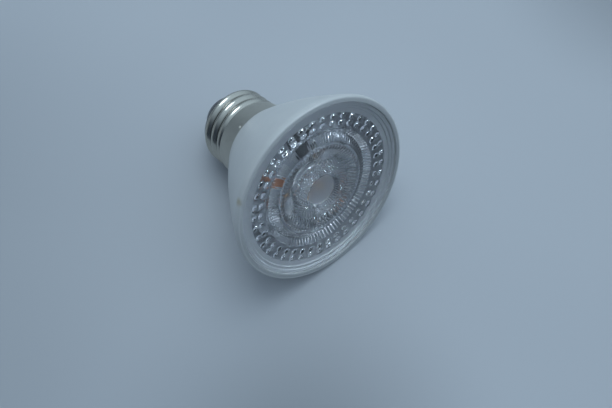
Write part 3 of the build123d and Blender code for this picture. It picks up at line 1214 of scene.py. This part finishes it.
@dataclass
class ScrewCap:
    """Rolled shell with its thread, the insulator and the two contacts."""

    skirt_level: float = 30.05
    skirt_radius: float = 14.8
    skirt_end: float = 38.0
    skirt_top: float = 13.3
    skirt_curve: float = 0.9
    flare_length: float = 0.35
    flare_width: float = 0.12
    step_length: float = 0.9
    step_depth: float = 2.2
    step_overlap: float = 1.0
    crest: float = 13.2
    root: float = 12.1
    pitch: float = 3.629
    crest_level: float = 40.05
    crest_angle: float = -120.0
    crest_curve: float = 0.6
    end_level: float = 50.0
    end_tuck: float = 0.4
    end_round: float = 0.15
    run_out: float = 1.9
    lip_radius: float = 10.2
    lip_chamfer: Span = (0.1, 0.35)
    wall: float = 0.4
    inner_step: Span = (0.2, 1.2)
    dent_level: float = 31.2
    dent_angle: float = -111.0
    dent_count: int = 6
    dent_size: float = 0.75
    dent_depth: float = 0.45
    dent_fall: float = 2.0
    rows: int = 150
    count: int = 288
    crease: float = 40.0
    small_count: int = 96
    insulator_count: int = 128
    insulator_wall: float = 0.7
    flange_radius: float = 11.55
    flange_height: float = 1.5
    gap: float = 0.05
    seat_gap: float = 0.02
    collar_height: float = 0.3
    waist_radius: float = 8.9
    waist_height: float = 2.4
    brow_radius: float = 7.4
    brow_drop: float = 1.1
    nose_radius: float = 6.2
    nose_level: float = 56.8
    plate_radius: float = 5.6
    plate_level: float = 57.4
    sleeve_wall: float = 0.5
    sleeve_length: float = 4.0
    head_radius: float = 4.4
    head_level: float = 58.4
    head_thickness: float = 0.98
    head_flat: float = 2.2
    head_domes: Triple = (0.01, 0.12, 0.45)
    head_shoulder: float = 0.4
    pin_radius: float = 1.3
    pin_bore: float = 0.45
    pin_end: float = 7.0
    bore_end: float = 3.0
    axis_gap: float = 0.05

    def thread(self, levels: np.ndarray, angles: np.ndarray) -> np.ndarray:
        """Radius of the shell's outside.

        Args:
            levels: level of each point.
            angles: angle of each point.

        Returns:
            The radius of each point.
        """
        start = math.radians(self.crest_angle)
        phase = (levels - self.crest_level) / self.pitch - (angles - start) / FULL_TURN
        wave = 0.5 + 0.5 * np.cos(FULL_TURN * phase)
        fade = eased((self.end_level - levels) / self.run_out)
        ridge = self.root + (self.crest - self.root) * wave**self.crest_curve * fade
        ridge = ridge - self.end_tuck * (1 - fade)
        share = (levels - self.skirt_level) / (self.skirt_end - self.skirt_level)
        narrowed = (self.skirt_top - self.skirt_radius) * np.clip(share, 0, 1) ** self.skirt_curve
        gone = eased((levels - self.skirt_end) / self.step_length)
        skirt = self.skirt_radius + narrowed - self.step_depth * gone
        return np.maximum(ridge * (levels > self.skirt_end - self.step_overlap), skirt)

    def dents(self, levels: np.ndarray, angles: np.ndarray) -> np.ndarray:
        """Depth of the punched dents.

        Args:
            levels: level of each point.
            angles: angle of each point.

        Returns:
            How far each point is pushed in.
        """
        step = FULL_TURN / self.dent_count
        off = ((angles - math.radians(self.dent_angle)) / step + 0.5) % 1.0 - 0.5
        across = off * step * self.skirt_radius
        away = (across**2 + (levels - self.dent_level) ** 2) / self.dent_size**2
        return self.dent_depth * np.exp(-self.dent_fall * away)

    def shell(self) -> Piece:
        """Makes and dresses the rolled shell.

        Returns:
            The piece.
        """
        angles = turns(self.count)[None, :]
        column = np.linspace(self.skirt_level, self.end_level - self.end_round, self.rows)
        levels = column[:, None] * np.ones_like(angles)
        radii = self.thread(levels, angles) - self.dents(levels, angles)
        flare = np.clip(1 - (levels - self.skirt_level) / self.flare_length, 0, 1)
        radii += self.flare_width * flare**2
        bore = self.root - self.wall
        under = self.end_level - self.wall
        low, high = self.lip_chamfer
        below, above = self.inner_step
        lip = [
            Corner(bore - low, self.end_level - low),
            Corner(bore - high, self.end_level, round=0.2),
            Corner(self.lip_radius, self.end_level, round=0.15),
            Corner(self.lip_radius, under),
            Corner(bore, under),
            Corner(bore, self.skirt_end + above),
            Corner(self.crest - self.wall - below, self.skirt_end - below),
            Corner(self.skirt_radius - self.wall, self.skirt_level),
        ]
        inner_radii, inner_levels = spread(rounded(lip, False), self.count)
        radii = np.concatenate([radii, inner_radii])
        levels = np.concatenate([levels, inner_levels])
        piece = turned("rolled_shell", radii, levels, False, self.crease)
        return dress(piece, NICKEL, Slot.NICKEL, "screw_shell")

    def insulator(self) -> Piece:
        """Makes and dresses the glazed insulator.

        Returns:
            The piece.
        """
        inner = self.pin_radius + self.insulator_wall
        flange_top = self.end_level - self.wall - self.gap
        flange_base = flange_top - self.flange_height
        collar = self.lip_radius - 2 * self.gap
        nose = self.nose_level - self.seat_gap
        corners = [
            Corner(inner, flange_base),
            Corner(self.flange_radius, flange_base, round=0.2),
            Corner(self.flange_radius, flange_top, round=0.2),
            Corner(collar, flange_top),
            Corner(collar, self.end_level + self.collar_height, round=0.5),
            Corner(self.waist_radius, self.end_level + self.waist_height, round=1.6),
            Corner(self.brow_radius, self.nose_level - self.brow_drop, round=1.6),
            Corner(self.nose_radius, nose, round=0.5),
            Corner(inner, nose),
        ]
        piece = lathe("glazed_insulator", corners, False, self.insulator_count)
        return dress(piece, INSULATOR, Slot.INSULATOR, "cap_insulator")

    def contact(self) -> Piece:
        """Makes and dresses the brass eyelet.

        Returns:
            The piece.
        """
        bore = self.pin_radius + 2 * self.gap
        sleeve_end = self.nose_level - self.sleeve_length
        plate = self.plate_level - self.seat_gap
        corners = [
            Corner(bore, sleeve_end),
            Corner(bore + self.sleeve_wall, sleeve_end),
            Corner(bore + self.sleeve_wall, self.nose_level),
            Corner(self.plate_radius, self.nose_level, round=0.2),
            Corner(self.plate_radius, plate, round=0.25),
            Corner(bore, plate),
        ]
        piece = lathe("brass_eyelet", corners, False, self.small_count)
        return dress(piece, BRASS, Slot.BRASS, "centre_contact")

    def pin(self) -> Piece:
        """Makes and dresses the rivet that ends the cap.

        Returns:
            The piece.
        """
        head = self.head_level
        top, brow, side = (head - drop for drop in self.head_domes)
        seat = head - self.head_thickness
        end, stop = head - self.pin_end, head - self.bore_end
        corners = [
            Corner(self.axis_gap, head),
            Corner(self.head_flat, top, round=0.5),
            Corner(self.head_radius - self.head_shoulder, brow, round=0.5),
            Corner(self.head_radius, side, round=0.4),
            Corner(self.head_radius, seat, round=0.1),
            Corner(self.pin_radius, seat),
            Corner(self.pin_radius, end, round=0.2),
            Corner(self.pin_bore, end),
            Corner(self.pin_bore, stop),
            Corner(self.axis_gap, stop),
        ]
        piece = lathe("contact_rivet", corners, True, self.small_count)
        return dress(piece, TIN, Slot.TIN, "contact_pin")

    def build(self) -> List[Piece]:
        """Makes all pieces of the cap."""
        return [self.shell(), self.insulator(), self.contact(), self.pin()]


@dataclass(frozen=True)
class Spot:
    """Where a component stands on the board."""

    radius: float
    angle: float
    turn: float = 90.0

    def matrix(self, level: float) -> Matrix:
        """Finds the spot's place and turn.

        Args:
            level: level of the board's face.

        Returns:
            The placement.
        """
        angle = math.radians(self.angle)
        middle = (self.radius * math.cos(angle), self.radius * math.sin(angle), level)
        turn = Matrix.Rotation(math.radians(self.angle + self.turn), 4, "Z")
        return Matrix.Translation(middle) @ turn


@dataclass
class DriverBoard:
    """The lit side of the board: light sources, chips and passive parts."""

    level: float = 10.2
    board_radius: float = 21.6186
    chip_inset: float = 5.4
    bridge_inset: float = 3.8
    edge_inset: float = 2.6
    inner_row: float = 12.3
    chip: Triple = (4.9, 3.9, 1.5)
    chip_pitch: float = 1.27
    chip_legs: int = 4
    bridge: Triple = (4.7, 4.2, 1.6)
    bridge_pitch: float = 2.5
    bridge_legs: int = 2
    body_waist: float = 0.55
    body_lean: float = 0.14
    leg_reach: float = 0.9
    leg_width: float = 0.45
    leg_thickness: float = 0.2
    leg_top: Span = (0.42, 0.62)
    leg_under: Span = (0.3, 0.5)
    resistor: Triple = (3.2, 1.6, 0.6)
    capacitor: Triple = (4.5, 3.2, 1.9)
    terminal: float = 0.5
    led: Triple = (3.5, 2.8, 0.8)
    led_ring: float = 4.7
    led_count: int = 6
    gel_margin: float = 0.4
    gel_depth: float = 0.3
    gel_height: float = 0.26
    lead_row: float = 9.9
    lead_angles: Span = (105.0, 135.0)
    solder: Triple = (1.2, 0.55, 0.8)

    def rows(self) -> Triple:
        """Radii of the inner row, the middle row and the row of the chips."""
        outer = self.board_radius - self.chip_inset
        return self.inner_row, (self.inner_row + outer) / 2, outer

    def chips(self) -> List[Spot]:
        """Spots of the driver chips."""
        _, _, outer = self.rows()
        return [Spot(outer, -88.0), Spot(outer, 115.0)]

    def bridges(self) -> List[Spot]:
        """Spots of the rectifier."""
        return [Spot(self.board_radius - self.bridge_inset, -16.0)]

    def resistors(self) -> List[Spot]:
        """Places the chip resistors.

        Returns:
            Their spots.
        """
        inner, middle, outer = self.rows()
        return [
            Spot(middle, 169.0),
            Spot(middle, 153.0),
            Spot(self.board_radius - self.edge_inset, -175.0),
            Spot(outer, 84.0),
            Spot(inner, -60.0),
            Spot(outer, -70.0, turn=0.0),
            Spot(outer, 14.0),
        ]

    def capacitors(self) -> List[Spot]:
        """Places the ceramic capacitors.

        Returns:
            Their spots.
        """
        inner, middle, outer = self.rows()
        return [Spot(outer, -138.0), Spot(middle, -164.0), Spot(inner, 44.0), Spot(outer, 65.0)]

    def leds(self) -> List[Spot]:
        """Places one light source in the middle and the others round it.

        Returns:
            Their spots.
        """
        step = 360.0 / self.led_count
        ring = [Spot(self.led_ring, index * step, turn=0.0) for index in range(self.led_count)]
        return [Spot(0.0, 0.0, turn=0.0), *ring]

    def bodies(self, name: str, spots: Sequence[Spot], size: Triple) -> Piece:
        """Makes moulded bodies with leaning sides.

        Args:
            name: the piece's name.
            spots: where they stand.
            size: length, width and height.

        Returns:
            The piece.
        """
        height = size[2]
        rings = ((0.0, 0.0), (0.0, height * self.body_waist), (self.body_lean, height))
        kit = Kit()
        for spot in spots:
            kit.stack(size[:2], rings, spot.matrix(self.level), bevel=0.05)
        return stand(name, kit.work)

    def legs(self) -> Piece:
        """Makes the bent legs of the chips and the rectifier.

        Returns:
            The piece.
        """
        kit = Kit()
        reach, thick = self.leg_reach, self.leg_thickness
        bend, ankle = (reach * share for share in self.leg_top)
        crook, heel = (reach * share for share in self.leg_under)
        groups = (
            (self.chips(), self.chip, self.chip_pitch, self.chip_legs),
            (self.bridges(), self.bridge, self.bridge_pitch, self.bridge_legs),
        )
        for spots, (_, width, height), pitch, count in groups:
            top = height / 2
            over = [(0.0, top), (bend, top), (ankle, thick), (reach, thick)]
            under = [(reach, 0.0), (heel, 0.0), (crook, top - thick), (0.0, top - thick)]
            for spot in spots:
                for side in (0.0, math.pi):
                    place = spot.matrix(self.level) @ Matrix.Rotation(side, 4, "Z")
                    for index in range(count):
                        along = (index - (count - 1) / 2) * pitch
                        shift = Matrix.Translation((along, width / 2, 0))
                        kit.ribbon(over + under, self.leg_width, place @ shift)
        return stand("bent_legs", kit.work)

    def passives(self, name: str, spots: Sequence[Spot], size: Triple) -> Piece:
        """Makes the bodies of two-ended parts.

        Args:
            name: the piece's name.
            spots: where they stand.
            size: length, width and height over the terminals.

        Returns:
            The piece.
        """
        kit = Kit()
        length, width, height = size
        body = (length - 2 * self.terminal, width, height)
        for spot in spots:
            kit.block(body, spot.matrix(self.level), bevel=0.05)
        return stand(name, kit.work)

    def terminals(self) -> Piece:
        """Makes the tinned ends of the two-ended parts.

        Returns:
            The piece.
        """
        kit = Kit()
        groups = ((self.resistors(), self.resistor), (self.capacitors(), self.capacitor))
        for spots, (length, width, height) in groups:
            out = (length - self.terminal) / 2
            for spot in spots:
                for along in (-out, out):
                    place = spot.matrix(self.level) @ Matrix.Translation((along, 0, 0))
                    kit.block((self.terminal, width, height), place, bevel=0.09)
        return stand("tinned_ends", kit.work)

    def sources(self) -> Tuple[Piece, Piece]:
        """Makes the light sources.

        Returns:
            The white packages and their phosphor.
        """
        packages, gels = Kit(), Kit()
        length, width, height = self.led
        margin, floor = self.gel_margin, height - self.gel_depth
        tray = ((0.0, 0.0), (0.0, height), (margin, height), (margin, floor))
        gel = (length - 2 * margin, width - 2 * margin, self.gel_height)
        lift = Matrix.Translation((0, 0, -floor))
        for spot in self.leds():
            place = spot.matrix(self.level)
            packages.stack((length, width), tray, place, bevel=0.05)
            gels.block(gel, place @ lift, bevel=0.08, taper=0.05)
        return stand("led_packages_moulded", packages.work), stand("led_gel", gels.work)

    def joints(self) -> Piece:
        """Makes the solder cones of the two leads.

        Returns:
            The piece.
        """
        kit = Kit()
        for angle in self.lead_angles:
            kit.cone(*self.solder, Spot(self.lead_row, angle).matrix(self.level))
        return stand("solder_cones", kit.work)

    def build(self) -> List[Piece]:
        """Makes and dresses all parts on the board.

        Returns:
            The pieces.
        """
        packages, gels = self.sources()
        chips = self.bodies("chip_bodies", self.chips(), self.chip)
        bridge = self.bodies("bridge_body", self.bridges(), self.bridge)
        legs = self.legs()
        resistors = self.passives("resistor_bodies", self.resistors(), self.resistor)
        capacitors = self.passives("capacitor_bodies", self.capacitors(), self.capacitor)
        return [
            dress(chips, EPOXY, Slot.CHIP, "driver_chips"),
            dress(bridge, EPOXY, Slot.CHIP, "rectifier"),
            dress(legs, TIN, Slot.TIN, "chip_legs"),
            dress(resistors, GLAZE, Slot.CHIP, "chip_resistors"),
            dress(capacitors, CERAMIC, Slot.CAPACITOR, "ceramic_capacitors"),
            dress(self.terminals(), TIN, Slot.TIN, "chip_terminals"),
            dress(packages, LED_BODY, Slot.LED, "led_packages"),
            dress(gels, PHOSPHOR, Slot.PHOSPHOR, "led_phosphors"),
            dress(self.joints(), TIN, Slot.TIN, "solder_joints"),
            repaint("led_board", MASK),
            repaint("heat_sink", ALUMINIUM),
        ]


@dataclass
class Wiring:
    """Leads and the fusible resistor inside the neck."""

    finishes: Tuple[Tuple[str, Finish], ...] = (
        ("live_lead", RED_WIRE),
        ("neutral_lead", BLACK_WIRE),
        ("fusible_resistor", LACQUER),
    )

    def build(self) -> List[Piece]:
        """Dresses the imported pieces."""
        return [repaint(node, finish) for node, finish in self.finishes]


# Table, light and camera


@dataclass(frozen=True)
class SoftLamp:
    """A round soft lamp, with its aim to the right, away from the camera and up."""

    name: str
    aim: Triple
    size: float
    power: float
    on_matt: bool = False
    in_gloss: bool = True


@dataclass
class Studio:
    """Table, light and camera, set to the photograph."""

    rim_contact: Triple = (0.0, 31.5, 1.8)
    cap_contact: Triple = (0.0, 13.2, 46.0)
    side: Triple = (1.0, 0.0, 0.0)
    table_size: float = 1600.0
    eye: Triple = (-74.49, -175.99, -152.05)
    right: Triple = (0.7562, 0.2381, -0.6095)
    up: Triple = (0.5919, -0.6460, 0.4820)
    back: Triple = (-0.2789, -0.7253, -0.6294)
    focal: float = 47.06
    sensor: float = 36.0
    sight: Span = (10.0, 10000.0)
    sky: Triple = (0.575, 0.745, 0.91)
    dusk: Triple = (0.042, 0.060, 0.088)
    sky_aim: Triple = (0.22, 0.48, 0.85)
    lamp_colour: Triple = (0.76, 0.90, 1.0)
    lamp_reach: float = 700.0
    lamps: Tuple[SoftLamp, ...] = (
        SoftLamp("key_lamp", (0.0, 0.29, 0.96), 480.0, 1.15, on_matt=True, in_gloss=False),
        SoftLamp("streak_lamp", (-0.10, 0.34, 0.93), 330.0, 1.4),
        SoftLamp("near_lamp", (0.10, -0.88, 0.45), 140.0, 0.3),
        SoftLamp("right_lamp", (0.75, -0.10, 0.65), 150.0, 3.6),
        SoftLamp("left_card", (-0.93, -0.15, 0.25), 600.0, 0.24),
    )

    def normal(self) -> Vector:
        """Finds the way out of the table, towards the lamp.

        Returns:
            The direction.
        """
        along = Vector(self.cap_contact) - Vector(self.rim_contact)
        out = along.cross(Vector(self.side)).normalized()
        return out if out.dot(Vector(self.eye)) > 0 else -out

    def table(self) -> Piece:
        """Makes the table top under the lying lamp.

        Returns:
            The table top.
        """
        out = self.normal()
        half = self.table_size / 2
        side, ahead = Vector(self.side) * half, out.cross(Vector(self.side)) * half
        corners = ((-1, -1), (1, -1), (1, 1), (-1, 1))
        points = [Vector(self.rim_contact) + side * x + ahead * y for x, y in corners]
        mesh = bpy.data.meshes.new("table_top")
        mesh.from_pydata([tuple(point * MM) for point in points], [], [(0, 1, 2, 3)])
        if mesh.polygons[0].normal.dot(out) < 0:
            mesh.flip_normals()
        top = bpy.data.objects.new("table_top", mesh)
        bpy.context.scene.collection.objects.link(top)
        mesh.materials.append(paint(TABLE))
        return top

    def towards(self, aim: Triple) -> Vector:
        """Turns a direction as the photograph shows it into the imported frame.

        Args:
            aim: parts to the right, away from the camera and up from the table.

        Returns:
            The direction.
        """
        across, away, rise = aim
        out = self.normal()
        flat = Vector(self.right) * across + Vector(self.up) * away
        return (flat - out * flat.dot(out) + out * rise).normalized()

    def room(self) -> bpy.types.World:
        """Makes the room's light, bright above the table's far side and dim in front of it.

        Returns:
            The room.
        """
        bench = Bench("room", True)
        ahead = bench.node("ShaderNodeTexCoord").outputs["Generated"]
        sockets = {0: ahead, 1: self.towards(self.sky_aim)}
        facing = bench.node("ShaderNodeVectorMath", {"operation": "DOT_PRODUCT"}, sockets)
        share = Signal(bench, facing.outputs[1])
        glow = bench.blend(share.rise(0.0, 1.0), self.dusk, self.sky)
        return bench.close(bench.node("ShaderNodeBackground", None, {0: glow}).outputs[0])

    def light(self, kind: SoftLamp) -> Piece:
        """Makes one soft lamp over the table.

        Args:
            kind: where it hangs and how bright it is.

        Returns:
            The lamp.
        """
        aim = self.towards(kind.aim)
        data = bpy.data.lights.new(kind.name, "AREA")
        data.shape = "DISK"
        data.size = kind.size * MM
        data.energy = kind.power
        data.color = self.lamp_colour
        lamp = bpy.data.objects.new(kind.name, data)
        lamp.location = (Vector(self.cap_contact) / 2 + aim * self.lamp_reach) * MM
        lamp.rotation_mode = "QUATERNION"
        lamp.rotation_quaternion = aim.to_track_quat("Z", "Y")
        lamp.visible_diffuse = kind.on_matt
        lamp.visible_glossy = kind.in_gloss
        bpy.context.scene.collection.objects.link(lamp)
        return lamp

    def camera(self) -> Piece:
        """Makes the camera at the photograph's viewpoint.

        Returns:
            The camera.
        """
        data = bpy.data.cameras.new("photo_camera")
        data.lens = self.focal
        data.sensor_width = self.sensor
        data.clip_start, data.clip_end = (reach * MM for reach in self.sight)
        camera = bpy.data.objects.new("photo_camera", data)
        axes = Matrix((self.right, self.up, self.back)).transposed().to_4x4()
        camera.matrix_world = Matrix.Translation(Vector(self.eye) * MM) @ axes
        bpy.context.scene.collection.objects.link(camera)
        bpy.context.scene.camera = camera
        return camera

    def build(self) -> List[Piece]:
        """Sets up the studio.

        Returns:
            The table, the lamps and the camera.
        """
        bpy.context.scene.view_settings.view_transform = "Standard"
        bpy.context.scene.world = self.room()
        return [self.table(), *[self.light(kind) for kind in self.lamps], self.camera()]


def main() -> None:
    """Builds the lamp and its studio in order."""
    logging.basicConfig(level=logging.INFO, format="%(name)s: %(message)s")
    for assembly in (Housing(), MouldedLens(), ScrewCap(), DriverBoard(), Wiring(), Studio()):
        for piece in assembly.build():
            log.info("%s: %s", type(assembly).__name__, piece.name)


if __name__ == "__main__":
    main()
